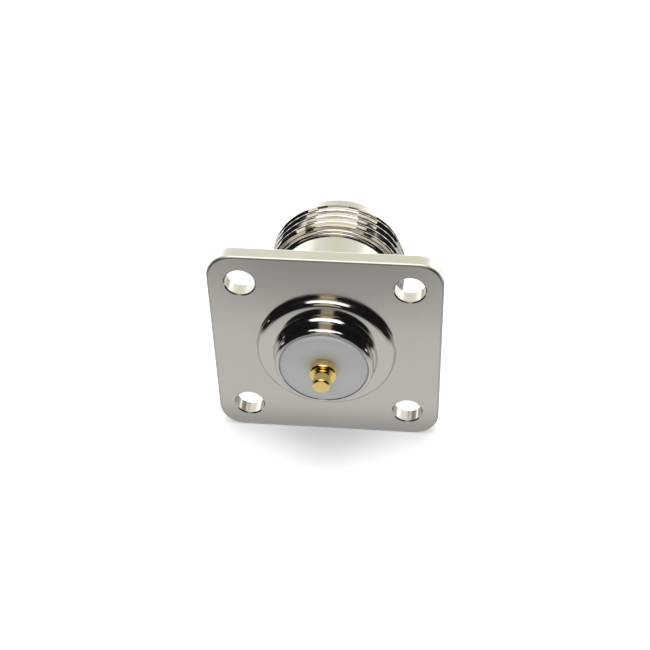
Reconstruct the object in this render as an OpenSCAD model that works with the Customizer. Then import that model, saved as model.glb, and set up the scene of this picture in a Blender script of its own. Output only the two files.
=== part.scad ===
// Coaxial panel socket, N series: square flange with four holes, solder post at the rear.
// Frame: origin at the centre of the flange's rear face, +Y along the mating direction, +Z up. Millimetres.
// Radii and stations along Y are taken from the turned profile; one pitch value drives the thread.

/* [Flange] */
// Side of the square flange
flange_w = 25.4; // [24:0.1:30]
// Thickness of the flange
flange_t = 1.75; // [1.5:0.05:3]
// Corner radius of the flange
flange_corner_r = 2.9; // [1.5:0.1:3.4]
// Distance between neighbouring hole centres
hole_pitch = 18.26; // [17.8:0.02:18.6]
// Diameter of the four fixing holes
hole_d = 3.3; // [2.6:0.05:3.5]
// Rounding of the flange's outer edges
edge_round = 0.22; // [0.05:0.01:0.3]
// Width of the small break on the hole rims
hole_break = 0.13; // [0.05:0.01:0.25]

/* [Rear boss] */
// Diameter of the locating ring on the rear face
ring_d = 15.4; // [14.8:0.1:15.8]
// Height of the locating ring above the rear face
ring_h = 1.0; // [0.8:0.05:1.2]
// Wall of the boss round the insulator
boss_wall = 0.55; // [0.5:0.01:0.8]
// Height of the boss above the rear face
boss_h = 3.0; // [2.9:0.05:4]
// Step from the boss wall out to the rounded shoulder at its foot
foot_step = 0.35; // [0.25:0.01:0.6]

/* [Barrel] */
// How far the neck between flange and thread lies below the thread crests
neck_step = 0.79; // [0.72:0.01:1.1]
// Station of the shoulder behind the thread, from the rear face
shoulder_y = 11.78; // [10.5:0.02:12]
// Step from the neck out to the narrow ledge between shoulder and thread
ledge_step = 0.35; // [0.3:0.01:0.4]
// Major diameter of the thread (5/8 inch)
thread_d = 15.875; // [15.6:0.005:15.9]
// Threads per inch
thread_tpi = 24; // [20:1:28]
// Width left flat on the thread crests
crest_w = 0.14; // [0.12:0.01:0.25]
// Length from the end of the full thread to the front end
nose_len = 2.75; // [2.5:0.05:3.1]
// Step from the thread root in to the plain nose
nose_step = 0.69; // [0.5:0.01:0.9]
// Station of the front end, from the rear face
front_y = 18.7; // [18.2:0.05:19.5]

/* [Mating interface] */
// Diameter of the front bore that takes the plug's outer contact
jack_bore_d = 8.1; // [8.03:0.01:8.13]
// Depth of the front bore, front end to reference plane
jack_depth = 9.1; // [9.04:0.01:9.19]
// Inside diameter of the outer conductor behind the reference plane
line_d = 7.0; // [6.9:0.05:7.2]
// Length of the outer conductor's lip behind the reference plane
lip_len = 1.5; // [1:0.1:2.5]

/* [Insulator and contact] */
// Diameter of the insulator, the same as its bore in the body
insulator_d = 9.8; // [9.4:0.05:9.8]
// Diameter of the contact where it passes the insulator
contact_d = 3.04; // [2.9:0.01:3.1]
// Distance the contact's socket lies behind the front end
contact_recess = 5.0; // [4.8:0.05:5.3]
// Diameter of the socket hole
socket_d = 1.66; // [1.6:0.01:1.7]
// Depth of the socket hole
socket_depth = 4.4; // [3.8:0.1:5]
// Width of the two crossed saw cuts that make four socket fingers
slot_w = 0.35; // [0.25:0.05:0.4]
// Length of the saw cuts
slot_len = 3.6; // [2.5:0.1:3.8]
// Length of the contact's collar behind the insulator
collar_len = 1.12; // [0.8:0.02:1.5]
// Diameter of the groove behind the collar
groove_d = 1.74; // [1.5:0.02:1.8]
// Length of the groove
groove_len = 0.42; // [0.36:0.02:0.8]
// Diameter of the solder post
post_d = 1.96; // [1.9:0.02:2.4]
// Length of the solder post behind the groove
post_len = 1.24; // [1:0.02:3]

/* [Hidden] */
round_fn = 96;
flank = tan(30);
pitch = 25.4 / thread_tpi;
thread_r = thread_d / 2;
neck_r = thread_r - neck_step;
ledge_r = neck_r + ledge_step;
thread_end_y = front_y - nose_len;
// The groove between two crests is a 60 degree vee with a narrow flat root.
root_w = 0.17;
groove_mouth = pitch - crest_w;
// The crest corners are broken at 30 degrees to the axis, this deep.
crest_break = 0.05;
knee_w = groove_mouth - 2 * crest_break / flank;
thread_depth = (knee_w - root_w) / 2 / flank + crest_break;
root_r = thread_r - thread_depth;
nose_r = root_r - nose_step;
thread_steps = 40;
// Mid-groove station of one turn on the top line.
groove_phase_y = 12.55;
bore_r = jack_bore_d / 2;
line_r = line_d / 2;
seat_r = insulator_d / 2;
ring_r = ring_d / 2;
boss_r = seat_r + boss_wall;
foot_r = boss_r + foot_step;
reference_y = front_y - jack_depth;
seat_y = reference_y - lip_len;
contact_r = contact_d / 2;
contact_front_y = front_y - contact_recess;
insulator_rear_y = -(boss_h + 0.12);
collar_y = insulator_rear_y - collar_len;
post_y = collar_y - groove_len;
tip_y = post_y - post_len;
eps = 0.5;

// Rounded rims of the boss, its foot and the ring; the foot's rounding meets the boss wall at foot_turn.
boss_round = boss_wall - 0.1;
foot_round = 0.8;
foot_turn = acos(1 - foot_step / foot_round);
ring_round = 0.65;

// Points of an arc: centre (cr, cy), radii (ar, ay), from angle a to angle b in n steps.
function arc(cr, cy, ar, ay, a, b, n) =
    [for (i = [0:n]) let (t = a + (b - a) * i / n) [cr + ar * cos(t), cy + ay * sin(t)]];

// A turned solid: the polygon's first value is the radius, the second the station along +Y.
module turned(points) {
    rotate([-90, 0, 0]) rotate_extrude($fn = round_fn) polygon(points);
}

// Outside of the turned body, from the rear rim to the front end.
function body_profile() = concat(
    [[seat_r + 0.06, -boss_h]],
    arc(boss_r - boss_round, -boss_h + boss_round, boss_round, boss_round, -90, 0, 6),
    arc(foot_r - foot_round, -ring_h - 0.05, foot_round, foot_round, -foot_turn, 0, 6),
    [[foot_r, -ring_h - 0.04], [foot_r + 0.04, -ring_h]],
    arc(ring_r - ring_round, -ring_h + ring_round, ring_round, ring_round, -90, 0, 7),
    [[ring_r, -0.1], [ring_r + 0.1, 0],
     [ring_r + 0.1, flange_t / 2], [neck_r + 0.2, flange_t / 2]],
    arc(neck_r + 0.2, flange_t + 0.2, 0.2, 0.2, -90, -180, 3),
    arc(neck_r + 0.18, shoulder_y - 0.18, 0.18, 0.18, 180, 90, 3),
    arc(ledge_r - 0.08, shoulder_y + 0.08, 0.08, 0.08, -90, 0, 2),
    [[ledge_r + 0.02, shoulder_y + 0.19],
     [thread_r - 0.04, shoulder_y + 0.21],
     [thread_r, shoulder_y + 0.25],
     [thread_r, thread_end_y],
     [root_r - 0.04, thread_end_y + 0.55],
     [nose_r + 0.15, thread_end_y + 0.55]],
    arc(nose_r + 0.15, thread_end_y + 0.7, 0.15, 0.15, -90, -180, 2),
    arc(nose_r - 0.2, front_y - 0.2, 0.2, 0.2, 0, 90, 3),
    [[bore_r + 0.4, front_y],
     [bore_r, front_y - 0.4],
     [bore_r, reference_y],
     [line_r, reference_y],
     [line_r, seat_y],
     [seat_r, seat_y],
     [seat_r, -boss_h + 0.07]]);

// The flange's edge in section, rear to front: distance from the middle, then station.
function rim(r) =
    let (b = edge_round, m = b * (1 - sqrt(0.5)))
    [[r - b, 0], [r - m, m], [r, b], [r, flange_t - b], [r - m, flange_t - m], [r - b, flange_t]];

// Flat plate between the corner centres, with two opposite edges rounded.
module plate() {
    edge = rim(flange_w / 2);
    rotate([90, 0, 90])
        linear_extrude(height = flange_w - 2 * flange_corner_r, center = true)
            polygon(concat([for (p = edge) [p[1], p[0]]], [for (i = [5:-1:0]) [edge[i][1], -edge[i][0]]]));
}

module flange() {
    k = flange_w / 2 - flange_corner_r;
    plate();
    rotate([0, 90, 0]) plate();
    for (x = [-k, k], z = [-k, k])
        translate([x, 0, z])
            turned(concat([[0, 0]], rim(flange_corner_r), [[0, flange_t]]));
}

// Cutter for one fixing hole, with the rim broken on both faces.
module hole_cutter() {
    r = hole_d / 2;
    b = hole_break;
    turned([[0, -eps], [r + b + eps, -eps], [r, b], [r, flange_t - b],
            [r + b + eps, flange_t + eps], [0, flange_t + eps]]);
}

// One vee groove wound right-handed round the barrel; it runs out into the neck and over the nose.
module thread_groove() {
    r_knee = thread_r - crest_break;
    r_lip = thread_r + 0.03;
    half_lip = knee_w / 2 + (r_lip - r_knee) / flank;
    first = floor((shoulder_y - 0.7 - groove_phase_y) / pitch * thread_steps);
    last = ceil((thread_end_y + 1.1 - groove_phase_y) / pitch * thread_steps);
    n = last - first;
    half = [[root_r, root_w / 2], [r_knee, knee_w / 2],
            [r_lip, half_lip], [thread_r + 0.1, half_lip + 0.008]];
    section = concat([for (i = [3:-1:0]) [half[i][0], -half[i][1]]], half);
    m = len(section);
    points = [for (i = [0:n], s = section)
        let (t = (first + i) * 360 / thread_steps, y = groove_phase_y + (first + i) * pitch / thread_steps)
        [s[0] * sin(t), y + s[1], s[0] * cos(t)]];
    sides = [for (i = [0:n - 1], k = [0:m - 1])
        let (a = m * i + k, b = m * i + (k + 1) % m, c = a + m, d = b + m)
        each [[a, c, d], [a, d, b]]];
    polyhedron(points = points, convexity = 12,
        faces = concat([[for (k = [0:m - 1]) k]], sides, [[for (k = [m - 1:-1:0]) m * n + k]]));
}

module body() {
    k = hole_pitch / 2;
    color("silver") difference() {
        union() {
            turned(body_profile());
            difference() {
                flange();
                rotate([-90, 0, 0]) translate([0, 0, -eps])
                    cylinder(r = neck_r - 1, h = flange_t + 2 * eps, $fn = round_fn);
            }
        }
        for (x = [-k, k], z = [-k, k]) translate([x, 0, z]) hole_cutter();
        thread_groove();
    }
}

// The bead's rear rim is softly rounded; the contact passes through it.
module insulator() {
    color("whitesmoke") turned(concat(
        [[contact_r, insulator_rear_y]],
        arc(seat_r - 0.65, insulator_rear_y + 0.24, 0.65, 0.24, -90, 0, 7),
        [[seat_r, seat_y], [contact_r, seat_y]]));
}

// Socket with four fingers in front, collar and solder post behind.
module contact() {
    color("gold") difference() {
        turned(concat(
            [[0, tip_y]],
            arc(post_d / 2 - 0.2, tip_y + 0.2, 0.2, 0.2, -90, 0, 5),
            [[post_d / 2, post_y], [groove_d / 2, post_y + 0.06]],
            arc(groove_d / 2 + 0.08, collar_y - 0.08, 0.08, 0.08, 180, 90, 2),
            arc(contact_r - 0.28, collar_y + 0.28, 0.28, 0.28, -90, 0, 6),
            [[contact_r, contact_front_y - 0.5]],
            arc(contact_r - 0.2, contact_front_y - 0.2, 0.15, 0.2, 0, 90, 3),
            [[socket_d / 2 + 0.2, contact_front_y],
             [socket_d / 2, contact_front_y - 0.25],
             [socket_d / 2, contact_front_y - socket_depth],
             [0, contact_front_y - socket_depth - 0.45]]));
        for (a = [0, 90])
            rotate([0, a, 0])
                translate([-contact_d, contact_front_y - slot_len, -slot_w / 2])
                    cube([2 * contact_d, slot_len + eps, slot_w]);
    }
}

body();
insulator();
contact();
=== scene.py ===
"""Studio scene for the coaxial panel connector: finishes for its machined parts, pale table, soft light."""
import math

import bpy
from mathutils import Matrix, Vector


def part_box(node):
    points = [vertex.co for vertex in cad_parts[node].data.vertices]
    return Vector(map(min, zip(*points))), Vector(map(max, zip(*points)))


MM = 0.001

# Colours, sRGB
NICKEL = "d7d2cb"
PTFE = "d2d3d2"
GOLD = "fbdd90"
TABLE = "f2f2f4"

# Places on the body, mm
FLANGE_MID_Y = 0.875
FLANGE_REACH_Y = 0.95
FLANGE_FROM_R = (7.8, 7.95)  # outside the locating ring and the neck
CORNER_CENTRE = 9.8
EDGE_FROM = (2.62, 2.72)  # distance from the corner centres at which the rounded edge starts
EDGE_DEPTH_Y = (0.3, 0.18)
BEAD_R = 4.9

# Roughness of the finishes
TURNED_ROUGH = 0.09
SATIN_ROUGH = 0.17
SATIN_SPREAD = 0.12
WORN_ROUGH = 0.42
PTFE_ROUGH = 0.32
GOLD_ROUGH = 0.12

# Height of the relief, mm
SATIN_RELIEF = 0.0012
TURNING_RELIEF = 0.0004
BEAD_DOME = -0.55

# Camera, mm and degrees
CAMERA_PLACE = (13.029, -107.424, 102.162)
CAMERA_TURN = (47.68, 1.416, 5.656)
LENS = 74.32


def save_size():
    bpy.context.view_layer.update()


def linear(code):
    """sRGB hex code to a linear RGBA colour."""
    out = []
    for i in (0, 2, 4):
        c = int(code[i : i + 2], 16) / 255
        out.append(c / 12.92 if c <= 0.04045 else ((c + 0.055) / 1.055) ** 2.4)
    return (*out, 1.0)


def put(tree, socket, value):
    """Links another socket to this input, or sets the input's value."""
    if isinstance(value, bpy.types.NodeSocket):
        tree.links.new(value, socket)
    else:
        socket.default_value = value


def add(tree, kind, *inputs, **props):
    """Adds a node, sets its properties and fills its inputs in order: a value, or a socket to link from."""
    n = tree.nodes.new(kind)
    for k, v in props.items():
        setattr(n, k, v)
    for i, v in enumerate(inputs):
        if v is not None:
            put(tree, n.inputs[i], v)
    return n


def calc(tree, op, a, b=None, c=None):
    return add(tree, "ShaderNodeMath", a, b, c, operation=op).outputs[0]


def length(tree, a, b):
    """Length of the vector a, b."""
    return calc(tree, "SQRT", calc(tree, "ADD", calc(tree, "MULTIPLY", a, a), calc(tree, "MULTIPLY", b, b)))


def ramp(tree, value, lo, hi, to_lo=0.0, to_hi=1.0):
    """Smooth step of value from lo to hi, mapped to to_lo..to_hi."""
    n = add(tree, "ShaderNodeMapRange", value, lo, hi, to_lo, to_hi)
    n.interpolation_type = "SMOOTHSTEP"
    return n.outputs[0]


def blend(tree, mask, a, b):
    """Value a where mask is 0, b where it is 1."""
    n = add(tree, "ShaderNodeMix", mask, data_type="FLOAT")
    put(tree, n.inputs[2], a)
    put(tree, n.inputs[3], b)
    return n.outputs[0]


def noise(tree, vector, scale, detail, rough):
    return add(tree, "ShaderNodeTexNoise", vector, None, scale, detail, rough).outputs[0]


def new_material(name, **settings):
    """Material with one Principled shader, its inputs set by name; returns it, its tree and its shader."""
    m = bpy.data.materials.new(name)
    m.use_nodes = True
    t = m.node_tree
    t.nodes.clear()
    shader = add(t, "ShaderNodeBsdfPrincipled")
    out = add(t, "ShaderNodeOutputMaterial")
    t.links.new(shader.outputs[0], out.inputs[0])
    for k, v in settings.items():
        put(t, shader.inputs[k.replace("_", " ")], v)
    return m, t, shader


def place(tree):
    """Object coordinates in mm, as one vector and as x, y, z, with the distance from the part's axis."""
    co = add(tree, "ShaderNodeTexCoord").outputs["Object"]
    mm = add(tree, "ShaderNodeVectorMath", co, operation="SCALE")
    mm.inputs["Scale"].default_value = 1000
    x, y, z = add(tree, "ShaderNodeSeparateXYZ", mm.outputs[0]).outputs
    return mm.outputs[0], x, y, z, length(tree, x, z)


def relief(tree, shader, height):
    """Bump from a height in mm."""
    bump = add(tree, "ShaderNodeBump", 1.0, MM)
    put(tree, bump.inputs["Height"], height)
    put(tree, shader.inputs["Normal"], bump.outputs[0])


def nickel():
    """Bright nickel plate over brass: the tumbled flange is satin and uneven, the turned faces mirror."""
    m, t, s = new_material("nickel_plate_turned_and_satin", Base_Color=linear(NICKEL), Metallic=1.0)
    co, x, y, z, r = place(t)
    between_faces = calc(t, "COMPARE", y, FLANGE_MID_Y, FLANGE_REACH_Y)
    flange = calc(t, "MULTIPLY", ramp(t, r, *FLANGE_FROM_R), between_faces)
    # The satin is uneven over some 3 mm, with grain of about 0.1 mm on top.
    broad = noise(t, co, 0.35, 2.0, 0.55)
    grain = noise(t, co, 9.0, 3.0, 0.6)
    satin = calc(t, "ADD", SATIN_ROUGH, calc(t, "MULTIPLY", broad, SATIN_SPREAD))
    rough = blend(t, flange, TURNED_ROUGH, satin)
    # Tumbling has worn the flange's rounded rear edge duller.
    over_x = calc(t, "MAXIMUM", calc(t, "SUBTRACT", calc(t, "ABSOLUTE", x), CORNER_CENTRE), 0.0)
    over_z = calc(t, "MAXIMUM", calc(t, "SUBTRACT", calc(t, "ABSOLUTE", z), CORNER_CENTRE), 0.0)
    reach = length(t, over_x, over_z)
    edge = calc(t, "MULTIPLY", ramp(t, reach, *EDGE_FROM), ramp(t, y, *EDGE_DEPTH_Y))
    put(t, s.inputs["Roughness"], blend(t, edge, rough, WORN_ROUGH))
    # Turning marks are rings about 0.06 mm wide, by distance from the axis and along it.
    rings = noise(t, add(t, "ShaderNodeCombineXYZ", r, y, 0.0).outputs[0], 16.0, 2.0, 0.5)
    turned = calc(t, "MULTIPLY", calc(t, "MULTIPLY", rings, TURNING_RELIEF), calc(t, "SUBTRACT", 1.0, flange))
    tumbled = calc(t, "MULTIPLY", calc(t, "MULTIPLY", grain, SATIN_RELIEF), flange)
    relief(t, s, calc(t, "ADD", turned, tumbled))
    return m


def ptfe():
    """Turned PTFE: white, waxy, slightly glossy, its end face slightly domed towards the rim."""
    m, t, s = new_material("ptfe_turned", Base_Color=linear(PTFE), Roughness=PTFE_ROUGH, IOR=1.38)
    r = place(t)[4]
    relief(t, s, calc(t, "MULTIPLY", calc(t, "POWER", calc(t, "DIVIDE", r, BEAD_R), 5.0), BEAD_DOME))
    return m


def gold():
    """Gold plate over turned brass: a smooth, warm mirror."""
    return new_material("gold_plate_turned", Base_Color=linear(GOLD), Metallic=1.0, Roughness=GOLD_ROUGH)[0]


def card():
    """Matte white card, white and shadowed to the eye.

    The metal mirrors a glowing sheet of painted reflection instead: painted shadow close to the part
    and from 17 mm in front of it, painted darkness further out, and painted light behind, where it
    meets the lit wall.
    """
    m, t, s = new_material("table_white_with_painted_reflection", Base_Color=linear(TABLE), Roughness=1.0,
                           Specular_IOR_Level=0.0, Emission_Color=(0.985, 0.985, 1.0, 1))
    x, y = place(t)[1:3]
    path = add(t, "ShaderNodeLightPath").outputs
    put(t, s.inputs["Emission Strength"], calc(t, "MULTIPLY", path["Is Camera Ray"], 0.38))
    # Painted shadow in the reflection: a band from 16.5 to 27 mm in front of the part, half as deep to the
    # sides.
    shadow_band_narrowing = ramp(t, calc(t, "ABSOLUTE", calc(t, "ADD", x, 2.0)), 8.0, 18.0, 1.0, 0.5)
    painted_shadow_band = calc(t, "MULTIPLY", ramp(t, y, -16.5, -27.0, 0.0, 0.33), shadow_band_narrowing)
    # Painted shadow of the part in the reflection: the sheet is dimmer within 4.5 mm in front of it.
    painted_reflection = calc(t, "SUBTRACT", ramp(t, y, -4.5, -0.3, 0.72, 0.46), painted_shadow_band)
    # Painted darkness in the reflection from 30 to 65 mm away from the part.
    painted_reflection = calc(t, "MULTIPLY", painted_reflection, ramp(t, length(t, x, y), 30.0, 65.0, 1.0, 0.03))
    # Painted light in the reflection behind the part, rising to 1.4 where the table meets the lit wall.
    painted_reflection = calc(t, "MAXIMUM", painted_reflection, ramp(t, y, 12.0, 40.0, 0.0, 1.4))
    # Glossy rays see this glowing sheet of painted reflection instead of the lit table.
    painted_reflection_glow = add(t, "ShaderNodeEmission", (1.0, 1.0, 1.0, 1), painted_reflection)
    both = add(t, "ShaderNodeMixShader", path["Is Glossy Ray"], s.outputs[0], painted_reflection_glow.outputs[0])
    t.links.new(both.outputs[0], t.nodes["Material Output"].inputs[0])
    return m


def studio():
    """Soft box overhead, bright wall behind, pale card low in front, the rest of the room dark."""
    w = bpy.data.worlds.new("studio")
    bpy.context.scene.world = w
    w.use_nodes = True
    t = w.node_tree
    t.nodes.clear()
    d = add(t, "ShaderNodeTexCoord").outputs["Generated"]
    x, y, z = add(t, "ShaderNodeSeparateXYZ", d).outputs
    flat = calc(t, "MAXIMUM", length(t, x, y), 1e-4)
    side = calc(t, "DIVIDE", x, flat)
    front = calc(t, "DIVIDE", calc(t, "MULTIPLY", y, -1.0), flat)

    def zone(base, mask, colour):
        n = add(t, "ShaderNodeMix", mask, data_type="RGBA")
        for slot, v in ((6, base), (7, colour)):
            put(t, n.inputs[slot], v if isinstance(v, bpy.types.NodeSocket) else (*v, 1))
        return n.outputs[2]

    ahead = calc(t, "MULTIPLY", ramp(t, calc(t, "ABSOLUTE", calc(t, "ADD", side, 0.04)), 0.26, 0.18),
                 ramp(t, front, 0.0, 0.2))
    # The wall behind is brightest low down, and warmer in the middle.
    middle = ramp(t, calc(t, "ABSOLUTE", side), 0.45, 0.0)
    low_wall = zone((1.8, 1.8, 1.7), middle, (1.75, 1.70, 1.42))
    high_wall = zone((1.0, 1.0, 0.95), middle, (0.91, 0.94, 0.80))
    wall = zone(low_wall, ramp(t, z, 0.24, 0.55), high_wall)
    sky = zone((0.012, 0.012, 0.014), ahead, (0.52, 0.50, 0.40))
    sky = zone(sky, ramp(t, front, -0.50, -0.62), wall)
    sky = zone(sky, ramp(t, z, 0.82, 0.87), (2.0, 2.0, 2.05))
    light = add(t, "ShaderNodeBackground", sky, 1.0)
    white = add(t, "ShaderNodeBackground", (1, 1, 1, 1), 1.0)
    ray = add(t, "ShaderNodeLightPath").outputs["Is Camera Ray"]
    mix = add(t, "ShaderNodeMixShader", ray, light.outputs[0], white.outputs[0])
    add(t, "ShaderNodeOutputWorld", mix.outputs[0])


def fill_lamp():
    """Even light from above for the table and the insulator; the metal mirrors the room instead."""
    data = bpy.data.lights.new("overhead_fill", "AREA")
    data.shape = "DISK"
    data.size = 0.5
    data.energy = 3.6
    lamp = bpy.data.objects.new("overhead_fill", data)
    bpy.context.scene.collection.objects.link(lamp)
    lamp.location = (0.0, 0.10, 1.0)
    lamp.rotation_euler = (math.atan2(-0.10, 1.0), 0, 0)
    lamp.visible_glossy = False
    lamp.visible_camera = False


def camera():
    data = bpy.data.cameras.new("camera")
    cam = bpy.data.objects.new("camera", data)
    bpy.context.scene.collection.objects.link(cam)
    data.lens = LENS
    data.sensor_width = 36.0
    data.clip_start = 0.005
    data.clip_end = 10.0
    cam.location = [v * MM for v in CAMERA_PLACE]
    cam.rotation_euler = [math.radians(a) for a in CAMERA_TURN]
    bpy.context.scene.camera = cam


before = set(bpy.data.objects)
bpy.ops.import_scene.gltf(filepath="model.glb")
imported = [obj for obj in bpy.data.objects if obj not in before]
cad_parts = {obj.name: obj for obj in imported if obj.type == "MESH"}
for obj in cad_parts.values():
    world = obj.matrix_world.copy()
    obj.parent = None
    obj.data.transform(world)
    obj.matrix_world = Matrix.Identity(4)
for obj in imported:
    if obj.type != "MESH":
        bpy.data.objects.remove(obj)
save_size()

for node, make in (("body", nickel), ("insulator", ptfe), ("contact", gold)):
    material = make()
    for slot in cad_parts[node].material_slots:
        slot.material = material

# The table touches the flange's lower edge.
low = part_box("body")[0]
bpy.ops.object.select_all(action="DESELECT")
bpy.ops.mesh.primitive_plane_add(size=2.0, location=(0, 0, low.z))
table = bpy.context.object
table.name = "table"
table.data.materials.append(card())

studio()
fill_lamp()
camera()
bpy.context.scene.view_settings.view_transform = "Standard"
save_size()
